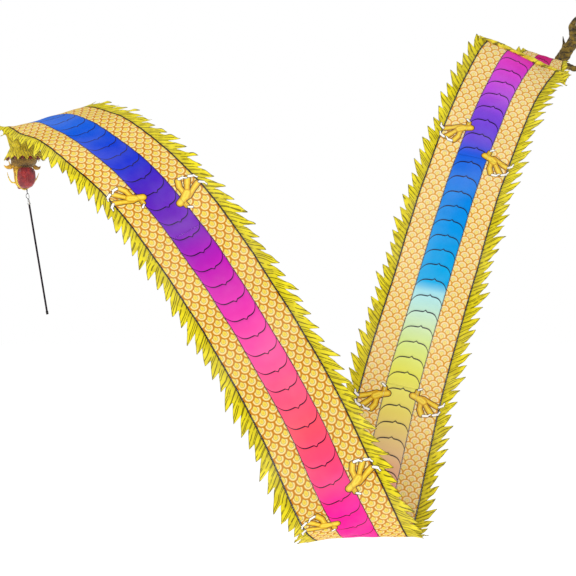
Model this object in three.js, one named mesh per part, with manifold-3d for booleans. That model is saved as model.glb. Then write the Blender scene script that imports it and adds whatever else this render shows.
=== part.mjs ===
// Dragon ribbon streamer: a long printed cloth ribbon in a flying V, with a stuffed dragon
// head at its leading end, a snap hook in the head's nose and a throwing rod on the hook.
// Units are millimetres, +Z is up. The origin is the middle of the ribbon's leading hem.
import * as THREE from 'three';
import Module from 'manifold-3d';

const wasm = await Module();
wasm.setup();

// ---------------------------------------------------------------- driving dimensions
const METRE = 1000;
const GAP = 0.5; // clearance between sewn pieces
const CLOTH = 1.5; // ribbon cloth, two layers
const GRID = 1 / 256; // corners sit on this grid, so each shared corner is one exact number

const EDGE = 232.5; // ribbon centre line to the dark edge line
const BELLY_EDGE = 93; // ribbon centre line to the belly panel's border
const FIN_VALLEY = 50; // fin reach beyond the edge line, between two flames
const FIN_TIP = 115; // fin reach at the longest flame tips
const FIN_PITCH = 92; // flame spacing along the fin
const LENGTHS = 5; // cloth lengths sewn end to end

const NECK_DROP = 34; // leading hem down to the neck joint
const HEAD_YAW = 30; // degrees the face is turned to its own right
const SHELL_WALL = 3; // sewn cover and wadding

const TOW_POINT = new THREE.Vector3(14, 0, -268); // ring's wire inside the nose tab
const ROD_LEAN = 9.4; // degrees from hanging straight down
const RING_RADIUS = 8.8;
const RING_WIRE = 1.2;
const ROD_RADIUS = 5.5;
const ROD_END = -712; // end cap face below the tow point

// Flying shape: centre x, y, z and sideways direction x, y, z (metres), then width share.
const STATIONS = [
  [0.00, 0.00, 0.00, 0.80, 0.60, 0.00, 0.34],
  [0.02, -0.02, 0.09, 0.80, 0.55, 0.12, 0.65],
  [0.15, -0.17, 0.13, 0.85, 0.38, 0.30, 0.97],
  [0.33, -0.41, 0.07, 0.86, 0.38, 0.36, 1],
  [0.51, -0.63, -0.05, 0.86, 0.36, 0.38, 1],
  [0.70, -0.80, -0.21, 0.86, 0.34, 0.38, 1],
  [0.95, -0.95, -0.50, 0.85, 0.33, 0.42, 1],
  [1.29, -1.14, -1.00, 0.85, 0.33, 0.42, 1],
  [1.57, -1.27, -1.49, 0.88, 0.25, 0.38, 1],
  [1.73, -1.27, -1.84, 0.95, 0.15, 0.25, 1],
  [1.83, -1.13, -2.04, 0.99, 0.08, 0.12, 1],
  [1.90, -0.89, -2.14, 1.00, 0.00, 0.03, 1],
  [1.96, -0.59, -2.04, 0.97, -0.10, -0.15, 1],
  [2.05, -0.29, -1.73, 0.93, -0.20, -0.28, 1],
  [2.16, -0.02, -1.34, 0.93, -0.20, -0.28, 1],
  [2.34, 0.33, -0.80, 0.95, -0.22, -0.20, 1],
  [2.53, 0.68, -0.24, 0.97, -0.22, -0.16, 1],
  [2.67, 0.88, 0.11, 0.97, -0.22, -0.18, 1],
  [2.81, 1.07, 0.41, 0.95, -0.20, -0.27, 1],
  [2.97, 1.31, 0.63, 0.90, -0.10, -0.44, 1],
  [3.07, 1.55, 0.57, 0.92, 0.00, -0.38, 0.74],
  [3.17, 1.75, 0.67, 0.95, 0.05, -0.30, 0.48],
  [3.26, 1.95, 0.62, 0.96, 0.08, -0.24, 0.22],
];

// Head cross-sections down from the neck joint: height, half width, half depth, centre y.
const COVER = [
  [-14, 40, 36, 0],
  [-22, 52, 46, 2],
  [-36, 66, 56, 6],
  [-56, 72, 60, 10],
  [-78, 68, 50, 20],
  [-98, 58, 33, 34],
  [-130, 55, 24, 26],
  [-165, 53, 22, 24],
  [-195, 46, 20, 22],
  [-212, 34, 16, 18],
  [-222, 14, 8, 10],
];
const JAW = [
  [-99, 24, 10, -24],
  [-106, 44, 20, -24],
  [-125, 54, 24, -26],
  [-160, 56, 25, -27],
  [-190, 50, 23, -25],
  [-208, 38, 18, -20],
  [-219, 20, 9, -11],
];
const KNOT_CENTRE = new THREE.Vector3(3268, 1993, 606);
const KNOT_RADIUS = 27;

// ---------------------------------------------------------------- colours
const GOLD = 0xe0a02a;
const YELLOW = 0xf2e020;
const MAROON = 0x8c1c20;
const DARK = 0x2a1e1a;
const STEEL = 0x9a9ca0;
const BELLY_COLOURS = [0x1060e0, 0xa02cb8, 0xff5590, 0xe0d47a, 0x1080e0];
const SCALE_COLOURS = [0xe6b45a, 0xe6b45a, 0xe6b45a, 0xecc68a, 0xecc68a];

const model = new THREE.Group();
model.name = 'dragon_ribbon_streamer';

// ---------------------------------------------------------------- shape helpers
function snapToGrid(geometry) {
  const { array } = geometry.attributes.position;
  for (let i = 0; i < array.length; i += 1) array[i] = Math.round(array[i] / GRID) * GRID;
  geometry.computeVertexNormals();
}

function addPart(name, geometry, colour, roughness = 0.8, metalness = 0) {
  snapToGrid(geometry);
  const material = new THREE.MeshStandardMaterial({ color: colour, roughness, metalness });
  material.name = name;
  const mesh = new THREE.Mesh(geometry, material);
  mesh.name = name;
  model.add(mesh);
}

function toSolid(geometry) {
  const plain = geometry.index ? geometry.toNonIndexed() : geometry;
  const places = plain.attributes.position;
  const seen = new Map();
  const vertices = [];
  const corners = [];
  for (let i = 0; i < places.count; i += 1) {
    const point = [places.getX(i), places.getY(i), places.getZ(i)];
    const key = point.map((value) => Math.round(value * METRE)).join();
    if (!seen.has(key)) {
      seen.set(key, vertices.length / 3);
      vertices.push(...point);
    }
    corners.push(seen.get(key));
  }
  const triangles = [];
  for (let i = 0; i < corners.length; i += 3) {
    const [a, b, c] = corners.slice(i, i + 3);
    if (a !== b && b !== c && a !== c) triangles.push(a, b, c);
  }
  return new wasm.Manifold(new wasm.Mesh({
    numProp: 3,
    vertProperties: new Float32Array(vertices),
    triVerts: new Uint32Array(triangles),
  }));
}

function fromSolid(solid) {
  const mesh = solid.getMesh();
  const geometry = new THREE.BufferGeometry();
  geometry.setAttribute('position', new THREE.BufferAttribute(mesh.vertProperties, 3));
  geometry.setIndex(new THREE.BufferAttribute(mesh.triVerts, 1));
  return geometry;
}

function cut(geometry, ...tools) {
  let solid = toSolid(geometry);
  for (const tool of tools) solid = solid.subtract(toSolid(tool));
  return fromSolid(solid);
}

function join(...geometries) {
  const solids = geometries.map(toSolid);
  return fromSolid(solids.reduce((sum, solid) => sum.add(solid)));
}

// A closed lathe whose rings are moved to where place(ring, cosine, sine) puts them.
function ringSolid(ringCount, segments, place) {
  const profile = [new THREE.Vector2(0, 0)];
  for (let ring = 0; ring < ringCount; ring += 1) profile.push(new THREE.Vector2(1, ring));
  profile.push(new THREE.Vector2(0, ringCount - 1));
  const geometry = new THREE.LatheGeometry(profile, segments);
  const places = geometry.attributes.position;
  for (let i = 0; i < places.count; i += 1) {
    const ring = Math.round(places.getY(i));
    const point = place(ring, places.getX(i), -places.getZ(i));
    places.setXYZ(i, point.x, point.y, point.z);
  }
  return geometry;
}

// Elliptic sections stacked along z, grown outwards by the given amount.
function loft(sections, grow = 0, segments = 28) {
  const rows = [...sections].reverse();
  return ringSolid(rows.length, segments, (ring, cosine, sine) => {
    const [height, halfWidth, halfDepth, middle] = rows[ring];
    const isEnd = ring === 0 ? -grow : ring === rows.length - 1 ? grow : 0;
    return new THREE.Vector3(
      cosine * (halfWidth + grow),
      middle + sine * (halfDepth + grow),
      height + isEnd,
    );
  });
}

// A round bar of changing radius along a smooth line through the given points.
function bar(points, radii, rings = 14, segments = 12) {
  const path = new THREE.CatmullRomCurve3(points.map((point) => new THREE.Vector3(...point)));
  const frames = path.computeFrenetFrames(rings - 1);
  return ringSolid(rings, segments, (ring, cosine, sine) => {
    const share = ring / (rings - 1);
    const slot = Math.min(Math.floor(share * (radii.length - 1)), radii.length - 2);
    const blend = share * (radii.length - 1) - slot;
    const radius = THREE.MathUtils.lerp(radii[slot], radii[slot + 1], blend);
    return path.getPointAt(share)
      .addScaledVector(frames.normals[ring], cosine * radius)
      .addScaledVector(frames.binormals[ring], sine * radius);
  });
}

function ball(radius, centre, stretch = [1, 1, 1]) {
  const geometry = new THREE.SphereGeometry(radius, 20, 14);
  return geometry.scale(...stretch).translate(...centre);
}

function lathe(points, segments = 24) {
  const geometry = new THREE.LatheGeometry(points.map((p) => new THREE.Vector2(...p)), segments);
  return geometry.rotateX(Math.PI / 2);
}

// ---------------------------------------------------------------- ribbon
const centreLine = new THREE.CatmullRomCurve3(
  STATIONS.map(([x, y, z]) => new THREE.Vector3(x, y, z).multiplyScalar(METRE)),
  false,
  'centripetal',
);
centreLine.arcLengthDivisions = 2000;
const sideLine = new THREE.CatmullRomCurve3(
  STATIONS.map((row) => new THREE.Vector3(row[3], row[4], row[5]).normalize()),
  false,
  'catmullrom',
  0.5,
);
const shareLine = new THREE.CatmullRomCurve3(
  STATIONS.map((row) => new THREE.Vector3(row[6], 0, 0)),
  false,
  'catmullrom',
  0.5,
);
const RIBBON_LENGTH = centreLine.getLength();

// Point on the ribbon: distance along it, distance across it and height off its face.
function onRibbon(along, across, height) {
  const t = centreLine.getUtoTmapping(along / RIBBON_LENGTH);
  const tangent = centreLine.getTangent(t);
  const side = sideLine.getPoint(t);
  side.addScaledVector(tangent, -side.dot(tangent)).normalize();
  const normal = new THREE.Vector3().crossVectors(tangent, side);
  return centreLine.getPoint(t)
    .addScaledVector(side, across * shareLine.getPoint(t).x)
    .addScaledVector(normal, height);
}

// A closed strip of cloth between two edges; stops are the distances along the ribbon.
function strip(stops, innerEdge, outerEdge) {
  const geometry = new THREE.BoxGeometry(stops.length - 1, 1, CLOTH, stops.length - 1, 1, 1);
  const places = geometry.attributes.position;
  for (let i = 0; i < places.count; i += 1) {
    const stop = Math.round(places.getX(i) + (stops.length - 1) / 2);
    const edge = places.getY(i) < 0 ? innerEdge(stop) : outerEdge(stop);
    const point = onRibbon(stops[stop], edge, places.getZ(i));
    places.setXYZ(i, point.x, point.y, point.z);
  }
  // The reverse is split along the same diagonals as the face, so twisted cloth stays in one layer.
  const index = geometry.index.array;
  const reverse = geometry.groups.at(-1);
  for (let i = reverse.start; i < reverse.start + reverse.count; i += 6) {
    const [a, b, d, , c] = index.slice(i, i + 6);
    index.set([a, b, c, a, c, d], i);
  }
  return geometry;
}

// Flames lean tailward: each rises slowly to its tip, then drops back to the next valley.
const FLAME_SHAPE = [[0, 0], [0.45, 0.45], [0.86, 1]];

function flameEdge(start, end) {
  const count = Math.round((end - start) / FIN_PITCH);
  const pitch = (end - start) / count;
  const stops = [];
  const reaches = [];
  for (let flame = 0; flame < count; flame += 1) {
    const size = 0.7 + 0.3 * Math.sin(2.4 * flame + start);
    for (const [share, rise] of FLAME_SHAPE) {
      stops.push(start + (flame + share) * pitch);
      reaches.push(EDGE + FIN_VALLEY + (FIN_TIP - FIN_VALLEY) * size * rise);
    }
  }
  stops.push(end);
  reaches.push(EDGE + FIN_VALLEY);
  return { stops, reaches };
}

function buildRibbon() {
  const lengthStep = RIBBON_LENGTH / LENGTHS;
  for (let length = 0; length < LENGTHS; length += 1) {
    const start = length * lengthStep + GAP / 2;
    const end = (length + 1) * lengthStep - GAP / 2;
    const { stops, reaches } = flameEdge(start, end);
    const tag = length + 1;
    const scaleColour = SCALE_COLOURS[length];
    const bellyEdge = BELLY_EDGE - GAP / 2;
    const belly = strip(stops, () => -bellyEdge, () => bellyEdge);
    addPart(`belly_${tag}`, belly, BELLY_COLOURS[length], 0.55);
    for (const [sideName, sign] of [['left', -1], ['right', 1]]) {
      const inner = sign * (BELLY_EDGE + GAP / 2);
      const outer = sign * (EDGE - GAP / 2);
      const low = Math.min(inner, outer);
      const high = Math.max(inner, outer);
      addPart(`scales_${sideName}_${tag}`, strip(stops, () => low, () => high), scaleColour, 0.6);
      const root = () => sign * (EDGE + GAP / 2);
      const tips = (stop) => sign * reaches[stop];
      const fin = sign < 0 ? strip(stops, tips, root) : strip(stops, root, tips);
      addPart(`fin_${sideName}_${tag}`, fin, YELLOW, 0.65);
    }
  }
}

// ---------------------------------------------------------------- neck
const RUFF_FLAMES = 14;
const FLAME_RUN = 1.4; // flame points run this share of the skirt's slope

// A spiked skirt flaring from top to bottom (height, half width, half depth); every other
// column runs on past the bottom as the point of a flame.
function skirt(top, bottom, wall, phase) {
  const profile = [0, 3, 2, 1, 0].map((corner) => new THREE.Vector2(1, corner));
  const geometry = new THREE.LatheGeometry(profile, RUFF_FLAMES * 2);
  const places = geometry.attributes.position;
  for (let i = 0; i < places.count; i += 1) {
    const corner = Math.round(places.getY(i));
    const column = Math.floor(i / profile.length);
    const isTip = (column + phase) % 2 === 0;
    const run = corner < 2 ? 0 : isTip ? FLAME_RUN : 1;
    const [height, halfWidth, halfDepth] = top.map((value, k) => value + (bottom[k] - value) * run);
    const thickness = corner === 1 || corner === 2 ? wall : 0;
    const x = places.getX(i) * (halfWidth + thickness);
    const y = -places.getZ(i) * (halfDepth + thickness);
    places.setXYZ(i, x, y, height);
  }
  return geometry;
}

function buildNeck() {
  const toJoint = (geometry) => geometry.rotateZ(Math.PI / 5).translate(0, 0, -NECK_DROP);
  const sleeve = loft([[26, 66, 7, 0], [17, 58, 20, 0], [9, 46, 34, 0]]);
  addPart('neck_sleeve', toJoint(sleeve), GOLD, 0.85);
  const ruff = skirt([27, 76, 52], [-36, 100, 96], 3, 0);
  addPart('mane_ruff', toJoint(ruff), 0xc89a1e, 0.9);
  const lining = skirt([27, 69, 45], [-36, 93, 89], 2.5, 1);
  addPart('mane_lining', toJoint(lining), MAROON, 0.85);
}

// ---------------------------------------------------------------- head
const EYE_RADIUS = 17;
const EYE_CENTRE = [50, 34, -52];
const OPEN_TOP = 14; // the cover's hollow runs out through its top edge
const FOAM_SINK = 2; // the foam stops this far below that edge
const FOAM_CLEAR = 1; // and this far above the hollow's lower end

function toHead(geometry) {
  return geometry.rotateZ(THREE.MathUtils.degToRad(HEAD_YAW)).translate(0, 0, -NECK_DROP);
}

function buildHeadBody() {
  const raised = ([height, ...rest], rise) => [height + rise, ...rest];
  const [top, ...middle] = COVER.slice(0, -1);
  const low = middle.pop();
  const hollow = loft([raised(top, OPEN_TOP), ...middle, low], -SHELL_WALL);
  addPart('head_cover', toHead(cut(loft(COVER), hollow)), 0xc8921c, 0.8);
  const foamRows = [raised(top, -FOAM_SINK), ...middle, raised(low, FOAM_CLEAR)];
  addPart('head_foam', toHead(loft(foamRows, -SHELL_WALL - GAP)), 0xe8e2c8, 0.95);
  addPart('lower_jaw', toHead(loft(JAW)), 0xb4262c, 0.35);
}

function buildMuzzleTrim() {
  const lipLine = [
    [-44, -1, -112], [-46, -1, -150], [-42, -1, -186], [-27, 0, -209],
    [0, 2, -226], [27, 0, -209], [42, -1, -186], [46, -1, -150], [44, -1, -112],
  ];
  const lip = bar(lipLine, [5, 5], 34, 12);
  const trimmedLip = cut(lip, loft(COVER, GAP), loft(JAW, GAP));
  addPart('lip_piping', toHead(trimmedLip), YELLOW, 0.5);

  const bandRows = [[-46, 69, 60, 6], [-60, 73, 62, 8], [-78, 69, 55, 16], [-92, 63, 44, 26]];
  const frontOnly = new THREE.BoxGeometry(200, 200, 200).translate(0, 100, -70);
  const band = cut(loft(bandRows, 5), loft(COVER, GAP), loft(JAW, GAP), frontOnly);
  addPart('chin_band', toHead(band), 0x8b6a10, 0.7);

  const noseBall = ball(15, [0, 40, -208], [1.5, 0.8, 1]);
  addPart('nose_pad', toHead(cut(noseBall, loft(COVER, GAP))), MAROON, 0.4);
}

function buildFacePair(sideName, sign) {
  const mirror = ([x, y, z]) => [sign * x, y, z];
  const eyeBall = ball(EYE_RADIUS, mirror(EYE_CENTRE));
  addPart(`eye_${sideName}`, toHead(cut(eyeBall, loft(COVER, GAP))), 0x3a9a3c, 0.25);
  const pupilCentre = mirror([EYE_CENTRE[0] + 8, EYE_CENTRE[1] + 9, EYE_CENTRE[2] - 3]);
  const eyeSocket = ball(EYE_RADIUS + GAP, mirror(EYE_CENTRE));
  const pupil = cut(ball(8, pupilCentre), eyeSocket, loft(COVER, GAP));
  addPart(`pupil_${sideName}`, toHead(pupil), 0x0c0c0c, 0.15);

  const browLine = [[72, 20, -38], [64, 42, -36], [48, 57, -40], [30, 64, -50]].map(mirror);
  const brow = cut(bar(browLine, [3, 7, 7, 3], 12), loft(COVER, GAP), eyeSocket);
  addPart(`brow_${sideName}`, toHead(brow), 0x1f6b3a, 0.8);

  const earLine = [[58, 16, -88], [80, 22, -98], [100, 28, -99], [114, 32, -88]].map(mirror);
  const ear = cut(bar(earLine, [14, 15, 9, 1.5], 10), loft(COVER, GAP), eyeSocket);
  addPart(`ear_${sideName}`, toHead(ear), GOLD, 0.8);

  const hornLine = [[22, 62, -84], [27, 96, -88], [34, 128, -78], [36, 146, -52]].map(mirror);
  const horn = cut(bar(hornLine, [11, 9, 6, 2], 12), loft(COVER, GAP));
  addPart(`horn_${sideName}`, toHead(horn), 0xd9b060, 0.45);

  const whiskerLine = [[40, 26, -186], [66, 30, -184], [86, 26, -160], [98, 20, -128]].map(mirror);
  const whisker = cut(bar(whiskerLine, [5, 4, 3, 1.2], 12, 8), loft(COVER, GAP));
  addPart(`whisker_${sideName}`, toHead(whisker), 0xc8a018, 0.6);
}

function buildHead() {
  buildHeadBody();
  buildMuzzleTrim();
  buildFacePair('left', -1);
  buildFacePair('right', 1);
}

// ---------------------------------------------------------------- tow hardware
const TAB_HOLE = 2.4;
const TAB_WALL = 1.2;
const TAB_WIDTH = 6;

function buildNoseTab() {
  const outer = TAB_HOLE + TAB_WALL;
  const top = 11.2;
  const outline = new THREE.Shape();
  outline.moveTo(-2, top);
  outline.lineTo(-outer, 0);
  outline.absarc(0, 0, outer, Math.PI, 2 * Math.PI, false);
  outline.lineTo(2, top);
  outline.closePath();
  const hole = new THREE.Path();
  hole.absarc(0, 0, TAB_HOLE, 0, 2 * Math.PI, true);
  outline.holes.push(hole);
  const tab = new THREE.ExtrudeGeometry(outline, { depth: TAB_WIDTH, bevelEnabled: false, curveSegments: 10 });
  tab.translate(0, 0, -TAB_WIDTH / 2).rotateX(Math.PI / 2);
  addPart('nose_tab', tab.translate(...TOW_POINT.toArray()), 0x3a2a20, 0.9);
}

function toRod(geometry) {
  return geometry.rotateY(THREE.MathUtils.degToRad(-ROD_LEAN)).translate(...TOW_POINT.toArray());
}

function buildRing() {
  const ring = new THREE.TorusGeometry(RING_RADIUS, RING_WIRE, 10, 32);
  addPart('tow_ring', toRod(ring.rotateY(Math.PI / 2).translate(0, 0, -RING_RADIUS)), STEEL, 0.3, 1);
}

const HOOK_WIRE = 1.6;
const GATE_PIVOT = [5.4, 0, -41.5];

function buildHook() {
  const hookLine = [
    [0, 0, -46], [-4, 0, -41.5], [-9.5, 0, -34], [-9.5, 0, -24], [-5, 0, -16],
    [0, 0, -14.4], [5, 0, -16.5], [7, 0, -21],
  ];
  const wire = bar(hookLine, [HOOK_WIRE, HOOK_WIRE], 30, 10);
  const stem = lathe([
    [0, -59], [3.4, -59], [3.4, -56], [2, -56], [2, -49.5], [3.6, -49.5], [3.6, -45], [0, -43.5],
  ]);
  const lug = bar([[1, 0, -45.5], [3.5, 0, -44.4], [5.2, 0, -43.6]], [HOOK_WIRE, 1.4], 6, 10);
  addPart('snap_hook', toRod(join(wire, stem, lug)), STEEL, 0.3, 1);
  const gate = bar([GATE_PIVOT, [6.4, 0, -32], [7, 0, -23.2]], [1.5, 1.3], 8, 10);
  addPart('hook_gate', toRod(gate), STEEL, 0.3, 1);
}

function buildRod() {
  const barrel = lathe([
    [0, -66], [5.8, -66], [5.8, -78], [9.5, -78], [9.5, -71], [6.6, -67], [4.8, -50],
    [2.3, -50], [2.3, -55], [3.9, -55], [3.9, -60], [0, -60],
  ]);
  addPart('swivel_barrel', toRod(barrel), 0xb8bab8, 0.4, 0.6);
  const tube = lathe([[0, ROD_END + 6], [ROD_RADIUS, ROD_END + 6], [ROD_RADIUS, -66.4], [0, -66.4]]);
  addPart('rod_tube', toRod(tube), 0x1c1420, 0.35);
  const cap = lathe([
    [0, ROD_END], [5, ROD_END], [7.2, ROD_END + 3], [7.2, ROD_END + 18], [6.2, ROD_END + 21],
    [5.8, ROD_END + 21], [5.8, ROD_END + 5.6], [0, ROD_END + 5.6],
  ]);
  addPart('end_cap', toRod(cap), 0x120e14, 0.6);
}

// ---------------------------------------------------------------- tail
function buildTail() {
  const knot = ball(KNOT_RADIUS, KNOT_CENTRE.toArray(), [1, 1, 0.85]);
  const ribbonEnd = onRibbon(RIBBON_LENGTH, 0, 0);
  const slot = ball(14, ribbonEnd.toArray(), [3, 1, 1]);
  addPart('tail_knot', cut(knot, slot), DARK, 0.85);
  const around = ball(KNOT_RADIUS + GAP, KNOT_CENTRE.toArray(), [1, 1, 0.87]);
  const flames = {
    tail_flame_tall: {
      line: [[3274, 1988, 625], [3318, 2000, 715], [3372, 2005, 800], [3372, 2010, 905], [3410, 2015, 980]],
      radii: [12, 40, 36, 26, 3],
    },
    tail_flame_low: {
      line: [[3285, 2000, 612], [3345, 2040, 640], [3400, 2050, 625], [3450, 2050, 690]],
      radii: [10, 22, 17, 3],
    },
    tail_flame_back: {
      line: [[3255, 2004, 624], [3280, 2074, 690], [3322, 2096, 770], [3318, 2105, 845]],
      radii: [8, 20, 16, 3],
    },
  };
  for (const [name, { line, radii }] of Object.entries(flames)) {
    addPart(name, cut(bar(line, radii, 18, 14), around), 0x7a5c14, 0.85);
  }
}

buildRibbon();
buildNeck();
buildHead();
buildNoseTab();
buildRing();
buildHook();
buildRod();
buildTail();

export default model;
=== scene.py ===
"""Dragon ribbon streamer in flight: a printed cloth ribbon in a V, with a stuffed dragon
head at its leading end, a snap hook in the head's nose and a black throwing rod."""
import math
import bmesh
import bpy
import numpy as np
from mathutils import Matrix, Vector, noise


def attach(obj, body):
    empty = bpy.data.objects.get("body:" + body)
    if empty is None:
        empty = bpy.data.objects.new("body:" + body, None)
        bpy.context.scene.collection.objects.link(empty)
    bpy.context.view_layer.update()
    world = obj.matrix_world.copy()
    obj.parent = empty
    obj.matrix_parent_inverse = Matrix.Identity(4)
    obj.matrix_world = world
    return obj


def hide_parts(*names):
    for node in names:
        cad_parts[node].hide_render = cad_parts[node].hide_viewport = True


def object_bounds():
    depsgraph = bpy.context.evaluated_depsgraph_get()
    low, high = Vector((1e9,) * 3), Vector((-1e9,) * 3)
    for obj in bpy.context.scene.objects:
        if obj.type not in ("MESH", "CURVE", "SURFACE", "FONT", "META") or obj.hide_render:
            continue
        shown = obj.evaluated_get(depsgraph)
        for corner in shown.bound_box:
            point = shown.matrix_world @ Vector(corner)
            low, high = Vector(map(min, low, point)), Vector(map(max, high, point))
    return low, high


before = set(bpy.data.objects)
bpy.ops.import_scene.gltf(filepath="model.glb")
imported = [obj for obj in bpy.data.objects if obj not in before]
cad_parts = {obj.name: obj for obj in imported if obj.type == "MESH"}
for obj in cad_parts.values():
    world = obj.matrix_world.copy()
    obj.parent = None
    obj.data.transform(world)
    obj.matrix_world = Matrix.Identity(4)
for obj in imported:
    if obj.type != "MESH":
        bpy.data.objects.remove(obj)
CAD_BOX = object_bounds()

# ---------- driving sizes (metres)
EDGE = 0.2325            # ribbon centre line to the dark edge line
BELLY_EDGE = 0.093       # ribbon centre line to the belly panel's border
SEAM_GAP = 0.0005        # between two strips of cloth
FIN_VALLEY = 0.050       # fin reach between two flames
FIN_TIP = 0.115          # fin reach at the longest flames
FIN_PITCH = 0.082
FLAME_LEAN = 0.78        # how far a flame trails towards the tail, per metre of reach
TAIL_FADE = 0.40         # the lean dies away over this last run of ribbon
LENGTHS = 5              # cloth lengths sewn end to end
CLOTH = 0.0009           # printed face to reverse

NECK_DROP = 0.034        # leading hem down to the neck joint
HEM_YAW = math.pi / 5    # the way the leading hem faces
HEAD_YAW = math.radians(30)
TOW_POINT = Vector((0.014, 0.0, -0.268))
ROD_LEAN = math.radians(9.4)
ROD_END = -0.712

# Flying shape: centre x, y, z and sideways direction x, y, z, then width share.
STATIONS = np.array([
    (0.00, 0.00, 0.00, 0.80, 0.60, 0.00, 0.34),
    (0.02, -0.02, 0.09, 0.80, 0.55, 0.12, 0.65),
    (0.15, -0.17, 0.13, 0.85, 0.38, 0.30, 0.97),
    (0.33, -0.41, 0.07, 0.86, 0.38, 0.36, 1),
    (0.51, -0.63, -0.05, 0.86, 0.36, 0.38, 1),
    (0.70, -0.80, -0.21, 0.86, 0.34, 0.38, 1),
    (0.95, -0.95, -0.50, 0.85, 0.33, 0.42, 1),
    (1.29, -1.14, -1.00, 0.85, 0.33, 0.42, 1),
    (1.57, -1.27, -1.49, 0.88, 0.25, 0.38, 1),
    (1.73, -1.27, -1.84, 0.95, 0.15, 0.25, 1),
    (1.83, -1.13, -2.04, 0.99, 0.08, 0.12, 1),
    (1.90, -0.89, -2.14, 1.00, 0.00, 0.03, 1),
    (1.96, -0.59, -2.04, 0.97, -0.10, -0.15, 1),
    (2.05, -0.29, -1.73, 0.93, -0.20, -0.28, 1),
    (2.16, -0.02, -1.34, 0.93, -0.20, -0.28, 1),
    (2.34, 0.33, -0.80, 0.95, -0.22, -0.20, 1),
    (2.53, 0.68, -0.24, 0.97, -0.22, -0.16, 1),
    (2.67, 0.88, 0.11, 0.97, -0.22, -0.18, 1),
    (2.81, 1.07, 0.41, 0.95, -0.20, -0.27, 1),
    (2.97, 1.31, 0.63, 0.90, -0.10, -0.44, 1),
    (3.07, 1.55, 0.57, 0.92, 0.00, -0.38, 0.74),
    (3.17, 1.75, 0.67, 0.95, 0.05, -0.30, 0.48),
    (3.26, 1.95, 0.62, 0.96, 0.08, -0.24, 0.22),
])

# ---------- camera
CAMERA_PLACE = Vector((1.50, -13.05, -0.82))
LENS = 143.25            # millimetres, as is the sensor's width
SENSOR = 36
camera_data = bpy.data.cameras.new("camera")
camera_data.sensor_width = SENSOR
camera_data.lens = LENS
camera = bpy.data.objects.new("camera", camera_data)
camera.location = CAMERA_PLACE
camera.rotation_euler = (math.pi / 2, 0, 0)
bpy.context.scene.collection.objects.link(camera)
bpy.context.scene.camera = camera
bpy.context.scene.view_settings.view_transform = "Standard"


# ---------- node helpers
def srgb(red, green, blue):
    """0-255 screen colour to the linear colour that materials use."""
    def linear(value):
        value /= 255
        return value / 12.92 if value <= 0.04045 else ((value + 0.055) / 1.055) ** 2.4
    return (linear(red), linear(green), linear(blue), 1)


def math_node(kind):
    """A method that adds one math node of the given kind."""
    return lambda field, *others: field.op(kind, *others)


class Field:
    """A number that varies over a surface. Arithmetic on it adds math nodes."""

    def __init__(self, tree, socket):
        self.tree = tree
        self.socket = socket

    def op(self, kind, *others):
        node = self.tree.nodes.new("ShaderNodeMath")
        node.operation = kind
        for slot, value in enumerate((self, *others)):
            feed(self.tree, value, node.inputs[slot])
        return Field(self.tree, node.outputs[0])

    __add__ = math_node("ADD")
    __sub__ = math_node("SUBTRACT")
    __mul__ = math_node("MULTIPLY")
    __truediv__ = math_node("DIVIDE")
    __lt__ = math_node("LESS_THAN")
    __gt__ = math_node("GREATER_THAN")
    size = math_node("ABSOLUTE")
    least = math_node("MINIMUM")
    most = math_node("MAXIMUM")
    sine = math_node("SINE")

    def wrap(self, low, high):
        return self.op("WRAP", high, low)

    def length(self, other):
        return (self * self + other * other).op("SQRT")

    def fade(self, start, end):
        """0 at start and 1 at end, smoothly."""
        node = self.tree.nodes.new("ShaderNodeMapRange")
        node.interpolation_type = "SMOOTHSTEP"
        feed(self.tree, self, node.inputs["Value"])
        node.inputs["From Min"].default_value = start
        node.inputs["From Max"].default_value = end
        return Field(self.tree, node.outputs["Result"])


def feed(tree, value, socket):
    if isinstance(value, Field):
        tree.links.new(value.socket, socket)
    elif isinstance(value, bpy.types.NodeSocket):
        tree.links.new(value, socket)
    else:
        socket.default_value = value


def set_inputs(tree, node, values):
    """Feeds a node's named inputs with sockets, fields or plain values."""
    for name, value in values.items():
        feed(tree, value, node.inputs[name])


def mix(tree, share, first, second, kind="MIX"):
    node = tree.nodes.new("ShaderNodeMix")
    node.data_type = "RGBA"
    node.blend_type = kind
    for slot, value in (("Factor", share), (6, first), (7, second)):
        feed(tree, value, node.inputs[slot])
    return node.outputs[2]


def ramp(tree, value, stops):
    """Colour ramp over stops of (position, screen colour)."""
    node = tree.nodes.new("ShaderNodeValToRGB")
    elements = node.color_ramp.elements
    while len(elements) < len(stops):
        elements.new(0.5)
    for element, (position, colour) in zip(elements, stops):
        element.position = position
        element.color = srgb(*colour)
    feed(tree, value, node.inputs[0])
    return node.outputs[0]


def place_on(tree, kind="Object"):
    return tree.nodes.new("ShaderNodeTexCoord").outputs[kind]


def uv_place(tree, name):
    node = tree.nodes.new("ShaderNodeUVMap")
    node.uv_map = name
    return node.outputs[0]


def axes(tree, vector):
    """The three parts of a vector, as fields."""
    split = tree.nodes.new("ShaderNodeSeparateXYZ")
    tree.links.new(vector, split.inputs[0])
    return [Field(tree, part) for part in split.outputs]


def noise_field(tree, where, scale, detail=3.0, stretch=None):
    if stretch:
        mapping = tree.nodes.new("ShaderNodeMapping")
        tree.links.new(where, mapping.inputs["Vector"])
        mapping.inputs["Scale"].default_value = stretch
        where = mapping.outputs[0]
    node = tree.nodes.new("ShaderNodeTexNoise")
    tree.links.new(where, node.inputs["Vector"])
    node.inputs["Scale"].default_value = scale
    node.inputs["Detail"].default_value = detail
    return Field(tree, node.outputs["Fac"])


def new_material(name):
    material = bpy.data.materials.new(name)
    material.use_nodes = True
    tree = material.node_tree
    shader = tree.nodes["Principled BSDF"]
    return material, tree, shader


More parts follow.
